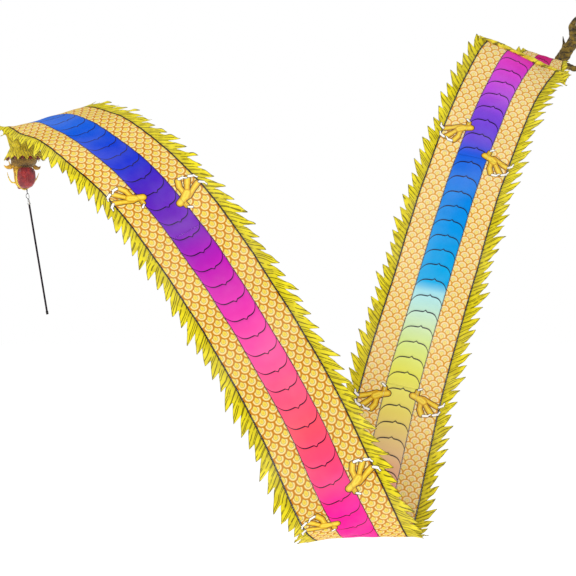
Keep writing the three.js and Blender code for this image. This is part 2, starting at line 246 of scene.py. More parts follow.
def bump(tree, shader, height, distance, strength=1.0):
    node = tree.nodes.new("ShaderNodeBump")
    set_inputs(tree, node, {"Strength": strength, "Distance": distance, "Height": height})
    tree.links.new(node.outputs["Normal"], shader.inputs["Normal"])


def weave_height(tree, across, along, thread):
    """Over-and-under threads as a height between 0 and 1."""
    turn = 2 * math.pi / thread
    return ((across * turn).sine() * (along * turn).sine() + 1) * 0.5


# ---------- printed cloth
BELLY_COLOURS = [
    (0.00, (16, 106, 216)), (0.35, (8, 100, 214)), (0.62, (0, 88, 212)), (0.95, (0, 54, 202)),
    (1.14, (4, 36, 194)), (1.30, (70, 32, 180)), (1.66, (116, 32, 174)), (1.92, (186, 26, 172)),
    (2.16, (222, 48, 168)), (2.42, (248, 76, 158)), (2.62, (255, 84, 132)), (2.90, (255, 80, 100)),
    (3.15, (255, 66, 118)), (3.38, (255, 10, 150)), (3.80, (250, 40, 150)), (4.30, (240, 170, 150)),
    (4.55, (232, 196, 140)), (4.80, (230, 212, 104)), (5.08, (226, 226, 92)),
    (5.28, (210, 230, 134)), (5.46, (200, 230, 196)), (5.64, (166, 224, 232)),
    (5.70, (0, 168, 228)), (6.10, (0, 148, 228)), (6.42, (0, 122, 224)), (6.66, (24, 88, 218)),
    (6.76, (96, 66, 212)), (6.98, (122, 66, 212)), (7.20, (190, 76, 220)), (7.46, (222, 44, 190)),
    (7.80, (224, 24, 140)), (8.30, (190, 16, 90)),
]
RIBBON_SPAN = 8.5        # the ramp's full length, just past the ribbon's end
PLATE_PITCH = 0.109
PLATE_DEPTH = 0.056      # how far a plate line bows towards the tail
NOTCH = 0.011
SCALE_WIDTH = 0.056
SCALE_ROW = 0.036
SCALE_RADIUS = 0.0305
INK = srgb(38, 26, 30)


SCALE_SQUASH = 0.62      # the scale behind is seen this much shorter
# Rings of a scale from its middle to its edge, on the face and on the reverse.
FACE_RINGS = [
    (0.0, (226, 180, 60)), (0.30, (240, 216, 84)), (0.42, (162, 156, 118)), (0.50, (244, 218, 130)),
    (0.57, (242, 220, 158)), (0.71, (232, 198, 116)), (0.78, (204, 136, 24)), (1.0, (188, 116, 12)),
]
REVERSE_RINGS = [
    (0.0, (236, 196, 104)), (0.30, (246, 226, 130)), (0.42, (200, 184, 140)), (0.50, (246, 224, 168)),
    (0.57, (246, 224, 170)), (0.75, (242, 210, 144)), (0.82, (222, 158, 50)), (1.0, (212, 138, 28)),
]
# Two sets of hair lines on the fins: spacing, then where a line starts and where it is full.
HAIR_LINES = [(0.0310, 0.15, 0.06), (0.0470, 0.09, 0.03)]
EDGE_LINE = 0.0045       # half width of the line between scales and fin
BORDER_LINE = 0.0023     # half width of the line between belly and scales
LINE_BLUR = 0.0007
BORDER_INK = srgb(52, 18, 48)


def print_place(tree):
    """Distance along the ribbon and across it, in metres, from the Print map."""
    place = uv_place(tree, "Print")
    along, across, _ = axes(tree, place)
    return place, along, across


def long_line(tree, across, middle, half, colour, ink):
    """Draws a line along the cloth at one distance either side of the ribbon's middle."""
    gap = (across.size() - middle).size()
    return mix(tree, gap.fade(half + LINE_BLUR, half - LINE_BLUR), colour, ink)


def capsule(toe, out, start, end, radius):
    """Signed distance to a round-ended bar in the paw's own plane."""
    reach_toe = end[0] - start[0]
    reach_out = end[1] - start[1]
    from_toe = toe - start[0]
    from_out = out - start[1]
    dot = from_toe * reach_toe + from_out * reach_out
    share = (dot / (reach_toe ** 2 + reach_out ** 2)).most(0.0).least(1.0)
    gap = (from_toe - share * reach_toe).length(from_out - share * reach_out)
    return gap - radius


PAW_SIZE = 1.18
PAW_ROOT = BELLY_EDGE - 0.012
PAW_OUTLINE = 0.0030
CLAW_OUTLINE = 0.0024
# Round-ended bars (start, end, radius) with x towards the head and y outwards.
PAW_PALM = [((-0.006, -0.008), (0.010, 0.034), 0.0170), ((0.008, 0.030), (0.020, 0.048), 0.0200)]
PAW_TOES = [
    [((0.000, 0.044), (0.024, 0.094), 0.0125), ((0.024, 0.094), (0.034, 0.118), 0.0142)],
    [((0.010, 0.040), (0.058, 0.078), 0.0125), ((0.058, 0.078), (0.082, 0.098), 0.0145)],
    [((0.014, 0.036), (0.064, 0.038), 0.0125), ((0.064, 0.038), (0.092, 0.052), 0.0142)],
    [((-0.004, 0.008), (-0.034, 0.010), 0.0115)],
]
PAW_CLAWS = [
    ((0.034, 0.128), (0.022, 0.144), 0.0056), ((0.022, 0.144), (0.006, 0.148), 0.0032),
    ((0.086, 0.108), (0.076, 0.128), 0.0058), ((0.076, 0.128), (0.060, 0.136), 0.0033),
    ((0.098, 0.062), (0.096, 0.082), 0.0058), ((0.096, 0.082), (0.084, 0.094), 0.0033),
    ((-0.042, 0.012), (-0.052, 0.026), 0.0045),
]
# Each pair: middle place along the ribbon, and how much further the right paw sits.
PAW_PAIRS = [(1.42, 0.07), (3.37, -0.09), (4.92, 0.01), (6.75, -0.085)]


def paint_paws(tree, along, across, colour):
    side = across.op("SIGN")
    places = [side * lead + middle for middle, lead in PAW_PAIRS]
    place = places[0]
    for before, after, spot in zip(PAW_PAIRS, PAW_PAIRS[1:], places[1:]):
        passed = along > (before[0] + after[0]) / 2
        place = place + passed * (spot - place)
    toe = (place - along) / PAW_SIZE
    out = (across.size() - PAW_ROOT) / PAW_SIZE
    palm = nearest(toe, out, PAW_PALM)
    colour = mix(tree, palm < PAW_OUTLINE, colour, INK)
    for toe_bars in PAW_TOES:
        flesh = nearest(toe, out, toe_bars)
        colour = mix(tree, flesh < PAW_OUTLINE, colour, INK)
        colour = mix(tree, flesh < 0.0, colour, paw_gold(tree, flesh))
    colour = mix(tree, palm < -0.0005, colour, paw_gold(tree, palm))
    claws = nearest(toe, out, PAW_CLAWS)
    colour = mix(tree, claws < CLAW_OUTLINE, colour, INK)
    return mix(tree, claws < 0.0, colour, srgb(252, 250, 244))


def paw_gold(tree, depth):
    """Gold with creases that follow the outline."""
    gold = ramp(tree, depth.fade(-0.015, 0.0), [
        (0.0, (244, 214, 74)), (0.6, (236, 196, 52)), (1.0, (190, 132, 22)),
    ])
    crease = (depth * 620).sine().fade(0.75, 0.98)
    return mix(tree, crease * 0.40, gold, srgb(128, 80, 14))


def nearest(toe, out, bars):
    gap = None
    for start, end, radius in bars:
        piece = capsule(toe, out, start, end, radius)
        gap = piece if gap is None else gap.least(piece)
    return gap


def belly_print(tree, place, along, across, is_reverse):
    stops = [(spot / RIBBON_SPAN, colour) for spot, colour in BELLY_COLOURS]
    colour = ramp(tree, along / RIBBON_SPAN, stops)
    share = across.size() / BELLY_EDGE
    bow = (share.op("POWER", 4.5) * -1 + 1) * PLATE_DEPTH
    notch = (((across - 0.008).size() / 0.013) * -1 + 1).most(0.0) * NOTCH
    phase = (along - bow - notch).wrap(0, PLATE_PITCH)
    line = phase.least(phase * -1 + PLATE_PITCH)
    thick = 0.0042 if is_reverse else 0.0034
    # Painted light and shade on each plate: a painted highlight towards the plate's tail end and
    # painted shade just tailward of each plate line
    lit = phase / PLATE_PITCH
    colour = mix(tree, lit.fade(0.55, 1.0) * 0.12, colour, srgb(255, 255, 255), "SOFT_LIGHT")
    colour = mix(tree, lit.fade(0.20, 0.0) * 0.14, colour, srgb(20, 10, 60), "MULTIPLY")
    dark = mix(tree, 0.96, colour, srgb(22, 8, 44))
    colour = mix(tree, line.fade(thick + 0.0008, thick - 0.0008), colour, dark)
    return long_line(tree, across, BELLY_EDGE, BORDER_LINE, colour, BORDER_INK)


def scale_print(tree, place, along, across, is_reverse):
    row = along.wrap(0, SCALE_ROW)
    number = ((along - row) / SCALE_ROW + 0.5).op("FLOOR")
    parity = number.wrap(0, 2) > 0.5
    shift = parity * (SCALE_WIDTH / 2)
    near = (across + shift).wrap(-SCALE_WIDTH / 2, SCALE_WIDTH / 2)
    far = (across + shift + SCALE_WIDTH / 2).wrap(-SCALE_WIDTH / 2, SCALE_WIDTH / 2)
    near_radius = row.length(near)
    far_radius = ((row - SCALE_ROW) * SCALE_SQUASH).length(far)
    inside = near_radius < SCALE_RADIUS
    radius = (far_radius + inside * (near_radius - far_radius)) / SCALE_RADIUS
    colour = ramp(tree, radius, REVERSE_RINGS if is_reverse else FACE_RINGS)
    colour = long_line(tree, across, EDGE, EDGE_LINE, colour, INK)
    return long_line(tree, across, BELLY_EDGE, BORDER_LINE, colour, BORDER_INK)


def fin_print(tree, place, along, across, is_reverse):
    out = across.size() - EDGE
    drift = noise_field(tree, place, 9.0, 2.0)
    slant = along - out * (FLAME_LEAN + 0.15) + (drift - 0.5) * 0.036
    wide, fine = (
        (slant.wrap(0, spacing) / spacing - 0.5).size().fade(start, full)
        for spacing, start, full in HAIR_LINES
    )
    broken = noise_field(tree, place, 26.0, 2.0).fade(0.32, 0.50)
    colour = ramp(tree, out / FIN_TIP, [
        (0.0, (196, 180, 26)), (0.25, (226, 210, 30)), (0.7, (242, 226, 40)), (1.0, (246, 234, 70)),
    ])
    shade = noise_field(tree, place, 16.0, 2.0).fade(0.40, 0.70)
    colour = mix(tree, shade * 0.50, colour, srgb(176, 156, 18))
    ink = srgb(96, 84, 10) if is_reverse else srgb(78, 66, 8)
    colour = mix(tree, wide.most(fine) * broken * 0.85, colour, ink)
    # The Flame map is 0 at the fin's root and 1 at its cut edge.
    rim = axes(tree, uv_place(tree, "Flame"))[1]
    colour = mix(tree, rim.fade(0.93, 0.975) * 0.80, colour, ink)
    return long_line(tree, across, EDGE, EDGE_LINE, colour, INK)


def printed_cloth(name, draw, is_reverse):
    material, tree, shader = new_material(name)
    place, along, across = print_place(tree)
    colour = draw(tree, place, along, across, is_reverse)
    colour = paint_paws(tree, along, across, colour)
    patches = noise_field(tree, place, 3.5, 4.0).fade(0.35, 0.75)
    colour = mix(tree, patches * 0.05, colour, srgb(255, 250, 236))
    rough = noise_field(tree, place, 60.0, 2.0).fade(0.2, 0.8) * 0.12 + 0.50
    set_inputs(tree, shader, {"Base Color": colour, "Roughness": rough, "Specular IOR Level": 0.05})
    threads = weave_height(tree, across, along, 0.0032)
    slubs = noise_field(tree, place, 420.0, 2.0)
    bump(tree, shader, threads + slubs * 0.5, 0.0003, 0.5)
    return material


CLOTHS = {
    kind: (printed_cloth(f"{kind}_face", draw, False), printed_cloth(f"{kind}_reverse", draw, True))
    for kind, draw in (("belly", belly_print), ("scales", scale_print), ("fin", fin_print))
}


# ---------- other materials
STRANDS = 5.4            # printed hair lines per radian round the head
STRAND_SLANT = 26        # and how they slant with height, in lines per metre


def plain_cloth(name, base, shadow, thread=0.0018, sheen=0.35, rough=0.8, fleck=None, nap=0.0006,
                worn=0.12):
    """Sewn cloth: woven thread, worn light patches, painted shade in its folds and optional printed
    hair lines.
    """
    material, tree, shader = new_material(name)
    place = place_on(tree)
    side, depth, height = axes(tree, place)
    # Painted shade: noise blends the cloth from its shadow colour to its base colour, standing in for
    # shade in the folds
    folds = noise_field(tree, place, 26.0, 5.0).fade(0.30, 0.70)
    colour = ramp(tree, folds, [(0.0, shadow), (1.0, base)])
    if fleck:
        wisps = noise_field(tree, place, 30.0, 1.5)
        turn = depth.op("ARCTAN2", side)
        strands = (turn * STRANDS + height * STRAND_SLANT + wisps * 1.5).op("FRACT") - 0.5
        colour = mix(tree, strands.size().fade(0.16, 0.05) * 0.8, colour, srgb(*fleck))
    rubbed = noise_field(tree, place, 90.0, 3.0).fade(0.55, 0.80)
    colour = mix(tree, rubbed * worn, colour, srgb(255, 246, 220))
    set_inputs(tree, shader, {
        "Base Color": colour, "Sheen Weight": sheen, "Sheen Roughness": 0.5,
        "Roughness": noise_field(tree, place, 150.0, 2.0) * 0.2 + (rough - 0.1),
    })
    threads = weave_height(tree, side + depth, height, thread)
    pile = noise_field(tree, place, 700.0, 2.0)
    bump(tree, shader, threads * 0.6 + pile, nap, 0.6)
    return material


def metal(name, colour, rough, brushed=False):
    material, tree, shader = new_material(name)
    place = place_on(tree)
    stretch = (1, 1, 0.05) if brushed else None
    grain = noise_field(tree, place, 900.0 if brushed else 300.0, 3.0, stretch)
    tarnish = noise_field(tree, place, 120.0, 4.0).fade(0.45, 0.75)
    dull = srgb(*(int(value * 0.62) for value in colour))
    set_inputs(tree, shader, {
        "Base Color": mix(tree, tarnish * 0.5, srgb(*colour), dull),
        "Metallic": 1.0, "Roughness": grain * 0.18 + (rough - 0.06),
    })
    bump(tree, shader, grain, 0.00012, 0.35)
    return material


def hard_gloss(name, colour, rough, scuff=(120, 112, 118)):
    material, tree, shader = new_material(name)
    place = place_on(tree)
    wear = noise_field(tree, place, 210.0, 6.0).fade(0.62, 0.74)
    set_inputs(tree, shader, {
        "Base Color": mix(tree, wear * 0.25, srgb(*colour), srgb(*scuff)),
        "Roughness": wear * 0.3 + rough, "Specular IOR Level": 0.16,
        "Coat Weight": 0.06, "Coat Roughness": 0.12,
    })
    bump(tree, shader, noise_field(tree, place, 380.0, 3.0), 0.00015, 0.3)
    return material


def iris_plastic():
    """Green moulded eye with radial streaks about its own axis."""
    material, tree, shader = new_material("eye_plastic")
    place = place_on(tree, "Generated")
    streaks = noise_field(tree, place, 14.0, 3.0, (1, 1, 0.2))
    colour = ramp(tree, streaks, [
        (0.25, (20, 92, 40)), (0.5, (64, 172, 70)), (0.75, (180, 220, 90)),
    ])
    rough = streaks * 0.15 + 0.10
    set_inputs(tree, shader, {"Base Color": colour, "Roughness": rough, "Coat Weight": 0.7})
    bump(tree, shader, streaks, 0.0003, 0.3)
    return material


# Each plain cloth takes its base colour, then the colour of the painted shade in its folds
GOLD = plain_cloth("gold_cloth", (226, 176, 44), (150, 100, 14), fleck=(96, 62, 12))
MANE = plain_cloth("mane_cloth", (238, 220, 48), (190, 170, 24), sheen=0.1, fleck=(84, 74, 10),
                   nap=0.0010)
MAROON = plain_cloth("maroon_cloth", (150, 30, 34), (84, 12, 20), sheen=0.5, rough=0.6)
JAW_RED = plain_cloth("jaw_satin", (168, 44, 50), (104, 16, 26), 0.0012, 0.25, 0.40, nap=0.0002,
                      worn=0.03)
CHIN = plain_cloth("chin_cloth", (156, 118, 26), (106, 76, 12), fleck=(78, 54, 10))
TAIL = plain_cloth("tail_cloth", (136, 110, 24), (48, 36, 10), sheen=0.1, fleck=(30, 24, 6),
                   nap=0.0014)
KNOT = plain_cloth("knot_cloth", (70, 44, 28), (30, 16, 14), nap=0.0010)
BROW = plain_cloth("brow_cloth", (44, 140, 70), (16, 74, 40), sheen=0.6)
HORN = plain_cloth("horn_cloth", (236, 206, 130), (186, 142, 60), sheen=0.5, rough=0.6)
WEBBING = plain_cloth("webbing_cloth", (70, 50, 40), (38, 26, 22), 0.0014, 0.2, 0.9)
PIPING = plain_cloth("piping_cloth", (248, 226, 60), (206, 170, 30), 0.0012, 0.4, 0.55)
STEEL = metal("steel", (46, 48, 54), 0.32)
BARREL = metal("barrel_metal", (206, 208, 208), 0.34, brushed=True)
ROD_BLACK = hard_gloss("rod_black", (22, 12, 22), 0.42, (60, 50, 58))
RUBBER = hard_gloss("cap_rubber", (22, 18, 20), 0.62, (80, 74, 74))
PUPIL = hard_gloss("pupil_plastic", (8, 8, 10), 0.10, (40, 40, 44))
EYE = iris_plastic()


# ---------- mesh helpers
def turns(count):
    """Angles evenly spaced round a circle."""
    return [2 * math.pi * number / count for number in range(count)]


def oval(angle, width, depth, height, middle=0.0):
    """A point on a level oval whose middle is this far back."""
    return Vector((math.cos(angle) * width, middle + math.sin(angle) * depth, height))


def make_object(name, vertices, faces, materials):
    mesh = bpy.data.meshes.new(name)
    mesh.from_pydata([tuple(point) for point in vertices], [], faces)
    for material in materials:
        mesh.materials.append(material)
    mesh.polygons.foreach_set("use_smooth", [True] * len(mesh.polygons))
    mesh.validate()
    mesh.update()
    piece = bpy.data.objects.new(name, mesh)
    bpy.context.scene.collection.objects.link(piece)
    return piece


def grid_faces(rows, columns, offset=0, flip=False, closed=False):
    faces = []
    for row in range(rows - 1):
        for column in range(columns if closed else columns - 1):
            after = (column + 1) % columns
            a = offset + row * columns + column
            b = offset + row * columns + after
            c = b + columns
            d = a + columns
            faces.append((a, d, c, b) if flip else (a, b, c, d))
    return faces


def ring_tube(name, rings, materials):
    """A closed solid through a list of rings, each an equal count of points."""
    columns = len(rings[0])
    vertices = [point for ring in rings for point in ring]
    faces = grid_faces(len(rings), columns, closed=True)
    faces.append(tuple(reversed(range(columns))))
    last = (len(rings) - 1) * columns
    faces.append(tuple(range(last, last + columns)))
    return make_object(name, vertices, faces, materials)


def spline(points, count):
    """Evenly spaced points on a smooth line through the given ones."""
    knots = [Vector(point) for point in points]
    knots = [2 * knots[0] - knots[1]] + knots + [2 * knots[-1] - knots[-2]]
    fine = []
    steps = 24
    for a, b, c, d in zip(knots, knots[1:], knots[2:], knots[3:]):
        for step in range(steps):
            t = step / steps
            fine.append(0.5 * (2 * b + (c - a) * t + (2 * a - 5 * b + 4 * c - d) * t * t
                               + (3 * b - a - 3 * c + d) * t ** 3))
    fine.append(knots[-2])
    lengths = np.cumsum([0] + [(q - p).length for p, q in zip(fine, fine[1:])])
    table = np.array([tuple(point) for point in fine])
    wanted = np.linspace(0, lengths[-1], count)
    rows = np.stack([np.interp(wanted, lengths, table[:, axis]) for axis in range(3)], axis=1)
    return [Vector(tuple(row)) for row in rows]


def bar(name, points, radii, materials, rings=30, columns=18, shape=None):
    """A round bar along a smooth line; shape(share, angle) scales its radius."""
    path = spline(points, rings)
    first = path[1] - path[0]
    side = first.orthogonal().normalized()
    loops = []
    for number, point in enumerate(path):
        ahead = path[min(number + 1, rings - 1)] - path[max(number - 1, 0)]
        ahead.normalize()
        side = (side - ahead * side.dot(ahead)).normalized()
        across = ahead.cross(side)
        share = number / (rings - 1)
        radius = float(np.interp(share, np.linspace(0, 1, len(radii)), radii))
        loop = []
        for angle in turns(columns):
            reach = radius * (shape(share, angle) if shape else 1)
            loop.append(point + side * math.cos(angle) * reach + across * math.sin(angle) * reach)
        loops.append(loop)
    return ring_tube(name, loops, materials)


def lathe(name, profile, materials, columns=48):
    """Closed solid turned about Z from (radius, height) pairs that start and end on the axis."""
    loops = [[oval(a, radius, radius, height) for a in turns(columns)] for radius, height in profile]
    return ring_tube(name, loops, materials)


def torus(name, radius, wire, materials, rings=96, columns=16):
    """A wire ring that stands across X with its top at the origin."""
    vertices = []
    for angle in turns(rings):
        for a in turns(columns):
            reach = radius + wire * math.cos(a)
            vertices.append(Vector((
                wire * math.sin(a), reach * math.sin(angle), reach * math.cos(angle) - radius,
            )))
    faces = grid_faces(rings, columns, closed=True)
    last = (rings - 1) * columns
    for column in range(columns):
        after = (column + 1) % columns
        faces.append((last + column, last + after, after, column))
    return make_object(name, vertices, faces, materials)


def double_wall(name, rows, columns, wall, spot, material):
    """A collar with an outer and an inner wall; spot(turn, share, wall) places each point."""
    vertices = [
        spot(column / columns, row / (rows - 1), thickness)
        for thickness in (wall, 0.0) for row in range(rows) for column in range(columns)
    ]
    count = rows * columns
    faces = grid_faces(rows, columns, 0, False, True) + grid_faces(rows, columns, count, True, True)
    for row in (0, rows - 1):
        for column in range(columns):
            a = row * columns + column
            b = row * columns + (column + 1) % columns
            faces.append((b, a, a + count, b + count) if row == 0 else (a, b, b + count, a + count))
    piece = make_object(name, vertices, faces, [material])
    close_box(piece)
    return piece


def finish_piece(piece, body, slot, *replaced, bevel=None, levels=0):
    if bevel:
        modifier = piece.modifiers.new("edges", "BEVEL")
        modifier.width = bevel
        modifier.segments = 2
        modifier.limit_method = "ANGLE"
        modifier.angle_limit = math.radians(40)
    if levels:
        modifier = piece.modifiers.new("rounding", "SUBSURF")
        modifier.levels = levels
        modifier.render_levels = levels
    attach(piece, body)
    if replaced:
        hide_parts(*replaced)
    return piece


def close_box(piece):
    """Makes every face look outwards."""
    work = bmesh.new()
    work.from_mesh(piece.data)
    bmesh.ops.recalc_face_normals(work, faces=work.faces)
    work.to_mesh(piece.data)
    work.free()


# ---------- ribbon path
def catmull(values, chord_power):
    """Dense points on a Catmull-Rom line through the rows of values."""
    ends = [2 * values[0] - values[1], *values, 2 * values[-1] - values[-2]]
    dense = []
    steps = 100
    for a, b, c, d in zip(ends, ends[1:], ends[2:], ends[3:]):
        ab, bc, cd = (
            max(np.linalg.norm(q - p) ** chord_power, 1e-4) for p, q in ((a, b), (b, c), (c, d))
        )
        start = ((b - a) / ab - (c - a) / (ab + bc) + (c - b) / bc) * bc
        end = ((c - b) / bc - (d - b) / (bc + cd) + (d - c) / cd) * bc
        for step in range(steps):
            t = step / steps
            dense.append(b + start * t + (3 * (c - b) - 2 * start - end) * t * t
                         + (2 * (b - c) + start + end) * t ** 3)
    dense.append(values[-1])
    return np.array(dense)


def ribbon_tables():
    centre = catmull(STATIONS[:, :3], 0.5)
    sides = STATIONS[:, 3:6] / np.linalg.norm(STATIONS[:, 3:6], axis=1)[:, None]
    side = catmull(sides, 0)
    share = catmull(STATIONS[:, 6:7], 0)
    tangent = np.gradient(centre, axis=0)
    tangent /= np.linalg.norm(tangent, axis=1)[:, None]
    side -= tangent * np.sum(side * tangent, axis=1)[:, None]
    side /= np.linalg.norm(side, axis=1)[:, None]
    normal = np.cross(tangent, side)
    steps = np.linalg.norm(np.diff(centre, axis=0), axis=1)
    along = np.concatenate([[0], np.cumsum(steps)])
    return along, np.hstack([centre, side, normal, share])


ALONG, TABLE = ribbon_tables()
RIBBON_LENGTH = ALONG[-1]


def on_ribbon(along, across, height):
    """Points at arrays of distance along, distance across and height off the face."""
    row = np.stack([np.interp(along, ALONG, TABLE[:, column]) for column in range(10)], axis=-1)
    centre, side, normal, share = row[..., :3], row[..., 3:6], row[..., 6:9], row[..., 9:]
    return centre + side * across[..., None] * share + normal * height[..., None]


def billow(along, across):
    """Height of the soft folds in the flying cloth."""
    slow = 0.007 * np.sin(5.1 * along + 9.0 * across) * np.sin(2.3 * along + 1.0)
    skew = 0.0035 * np.sin(13.0 * along - 17.0 * across + 2.0 * np.sin(3.0 * along))
    fine = 0.0012 * np.sin(41.0 * along + 30.0 * across + 3.0 * np.sin(7.0 * along))
    return slow + skew + fine


def flutter(along, across):
    """Extra ripple that grows from the fin's root to its loose edge."""
    out = np.clip((np.abs(across) - EDGE) / FIN_TIP, 0, 1)
    wave = np.sin(58.0 * along + 2.5 * np.sin(6.0 * along)) + 0.5 * np.sin(97.0 * along + across * 9)
    return 0.008 * out ** 1.3 * wave


def flame_reach(start, end):
    """Fin reach at any distance along one cloth length: rises to a tip, then drops."""
    count = round((end - start) / FIN_PITCH)
    pitch = (end - start) / count

    def reach(along):
        phase = (along - start) / pitch
        flame = np.clip(np.floor(phase), 0, count - 1)
        share = phase - flame
        size = 0.72 + 0.28 * np.sin(2.4 * flame + start * 1000) * np.cos(1.3 * flame)
        peak = 0.80
        rise = np.clip(share / peak, 0, 1) ** 0.8
        drop = np.clip((share - peak) / (1 - peak), 0, 1) ** 1.2
        level = np.where(share < peak, rise, 1 - drop)
        valley = FIN_VALLEY * (0.86 + 0.14 * np.sin(1.7 * flame + start * 9))
        return valley + (FIN_TIP - valley) * size * level
    return reach


def strip(name, start, end, inner, outer, kind, step, columns, flames=None):
    """Two-layer strip of printed cloth; inner and outer are its edges across the ribbon."""
    rows = int(round((end - start) / step)) + 1
    along = np.linspace(start, end, rows)[:, None].repeat(columns, axis=1)
    share = np.linspace(0, 1, columns)[None, :].repeat(rows, axis=0)
    place = along.copy()
    if flames:
        reach = flames(along) - SEAM_GAP / 2
        sign = math.copysign(1, outer)
        across = sign * (abs(inner) + share * reach)
        lean = FLAME_LEAN * np.clip((RIBBON_LENGTH - along) / TAIL_FADE, 0, 1)
        place = np.minimum(along + lean * share * reach, RIBBON_LENGTH)
    else:
        across = inner + (outer - inner) * share
    height = billow(place, across) + flutter(place, across)
    face = on_ribbon(place, across, height + CLOTH / 2).reshape(-1, 3)
    back = on_ribbon(place, across, height - CLOTH / 2).reshape(-1, 3)
    count = rows * columns
    is_mirrored = outer < inner
    faces = grid_faces(rows, columns, 0, not is_mirrored)
    face_count = len(faces)
    faces += grid_faces(rows, columns, count, is_mirrored)
    rim = list(range(columns))
    rim += [row * columns + columns - 1 for row in range(1, rows)]
    rim += [(rows - 1) * columns + column for column in range(columns - 2, -1, -1)]
    rim += [row * columns for row in range(rows - 2, 0, -1)]
    for here, after in zip(rim, rim[1:] + rim[:1]):
        quad = (here, after, after + count, here + count)
        faces.append(quad if not is_mirrored else quad[::-1])
    piece = make_object(name, np.vstack([face, back]), faces, CLOTHS[kind])
    close_box(piece)
    mesh = piece.data
    indices = [1 if face_count <= number < 2 * face_count else 0 for number in range(len(faces))]
    mesh.polygons.foreach_set("material_index", indices)
    loops = np.empty(len(mesh.loops), dtype=np.int32)
    mesh.loops.foreach_get("vertex_index", loops)
    loops %= count
    print_map = mesh.uv_layers.new(name="Print")
    spots = np.stack([place.reshape(-1), across.reshape(-1)], axis=1)
    print_map.data.foreach_set("uv", spots[loops].reshape(-1))
    flame_map = mesh.uv_layers.new(name="Flame")
    spots = np.stack([along.reshape(-1), share.reshape(-1)], axis=1)
    flame_map.data.foreach_set("uv", spots[loops].reshape(-1))
    width_share = np.interp(along, ALONG, TABLE[:, 9])
    widths = np.abs(across[:, -1] - across[:, 0]) * width_share[:, 0]
    area = float(np.sum((widths[1:] + widths[:-1]) / 2) * (end - start) / (rows - 1))
    return piece, float(np.max(widths)), area


def build_ribbon():
    step = RIBBON_LENGTH / LENGTHS
    for number in range(LENGTHS):
        tag = number + 1
        start = number * step + SEAM_GAP / 2
        end = (number + 1) * step - SEAM_GAP / 2
        parts = [("belly", f"belly_{tag}", -BELLY_EDGE + SEAM_GAP / 2, BELLY_EDGE - SEAM_GAP / 2,
                  0.010, 15, None, f"belly_cloth_{tag}")]
        for side, sign in (("left", -1), ("right", 1)):
            inner = sign * (BELLY_EDGE + SEAM_GAP / 2)
            outer = sign * (EDGE - SEAM_GAP / 2)
            parts.append(("scales", f"scales_{side}_{tag}", inner, outer,
                          0.010, 12, None, "scale_cloth"))
            root = sign * (EDGE + SEAM_GAP / 2)
            tip = sign * (EDGE + FIN_TIP)
            parts.append(("fin", f"fin_{side}_{tag}", root, tip, 0.0046, 9,
                          flame_reach(start, end), "fin_cloth"))
        for kind, node, inner, outer, spacing, columns, flames, slot in parts:
            piece, width, area = strip(f"{node}_cloth", start, end, inner, outer, kind,
                                       spacing, columns, flames)
            finish_piece(piece, "ribbon", slot, node)


build_ribbon()


# ---------- head placing
def placed(piece, drop, yaw):
    """Turns a piece about Z and sets it below the ribbon's leading hem."""
    piece.data.transform(Matrix.Translation((0, 0, -drop)) @ Matrix.Rotation(yaw, 4, "Z"))
    piece.data.update()
    return piece


def on_head(piece, slot, *replaced, **edges):
    finish_piece(placed(piece, NECK_DROP, HEAD_YAW), "head", slot, *replaced, **edges)


# Cross-sections down from the neck joint: height, half width, half depth, centre y.
COVER = [
    (-0.014, 0.040, 0.036, 0.000), (-0.022, 0.052, 0.046, 0.002), (-0.036, 0.066, 0.056, 0.006),
    (-0.056, 0.072, 0.060, 0.010), (-0.078, 0.068, 0.050, 0.020), (-0.098, 0.058, 0.033, 0.034),
    (-0.130, 0.055, 0.024, 0.026), (-0.165, 0.053, 0.022, 0.024), (-0.195, 0.046, 0.020, 0.022),
    (-0.212, 0.034, 0.016, 0.018), (-0.222, 0.014, 0.008, 0.010),
]
JAW = [
    (-0.099, 0.024, 0.010, -0.024), (-0.106, 0.044, 0.020, -0.024), (-0.125, 0.054, 0.024, -0.026),
    (-0.160, 0.056, 0.025, -0.027), (-0.190, 0.050, 0.023, -0.025), (-0.208, 0.038, 0.018, -0.020),
    (-0.219, 0.020, 0.009, -0.011),
]


def section_at(sections, height):
    rows = np.array(sections[::-1])
    return [float(np.interp(height, rows[:, 0], rows[:, column])) for column in (1, 2, 3)]


SEAM_WIDTH = 0.07        # radians over which a seam draws the cloth in
SEAM_DRAW = 0.0024
SEAM_REACH = 0.06        # radians either side of a seam that its stitches hold still
PUFF_LIMIT = 0.0035
SETTLE_FRAMES = 20


def stuffed(name, sections, materials, seams, puff=0.0012, rings=44, columns=72):
    """A stuffed form: smooth sections, sewn seams pulled in at the given angles, small puckers."""
    heights = spline([(row[0], 0, 0) for row in sections], rings)
    loops = []
    for point in heights:
        height = point.x
        width, depth, middle = section_at(sections, height)
        loop = []
        for angle in turns(columns):
            gaps = [math.remainder(angle - seam, 2 * math.pi) / SEAM_WIDTH for seam in seams]
            pull = sum(math.exp(-gap ** 2) for gap in gaps)
            spot = Vector((math.cos(angle) * 3, math.sin(angle) * 3, height * 70))
            inset = puff * noise.noise(spot) + 0.0006 * pull * math.sin(height * 900)
            inset -= SEAM_DRAW * pull
            loop.append(oval(angle, width + inset, depth + inset, height, middle))
        loops.append(loop)
    piece = ring_tube(name, loops, materials)
    close_box(piece)
    stitched = []
    for number in range(rings * columns):
        ring, column = divmod(number, columns)
        angle = 2 * math.pi * column / columns
        nearest_seam = min(abs(math.remainder(angle - seam, 2 * math.pi)) for seam in seams)
        if ring in (0, rings - 1) or nearest_seam < SEAM_REACH:
            stitched.append(number)
    piece.vertex_groups.new(name="seams").add(stitched, 1.0, "REPLACE")
    plump(piece)
    return piece


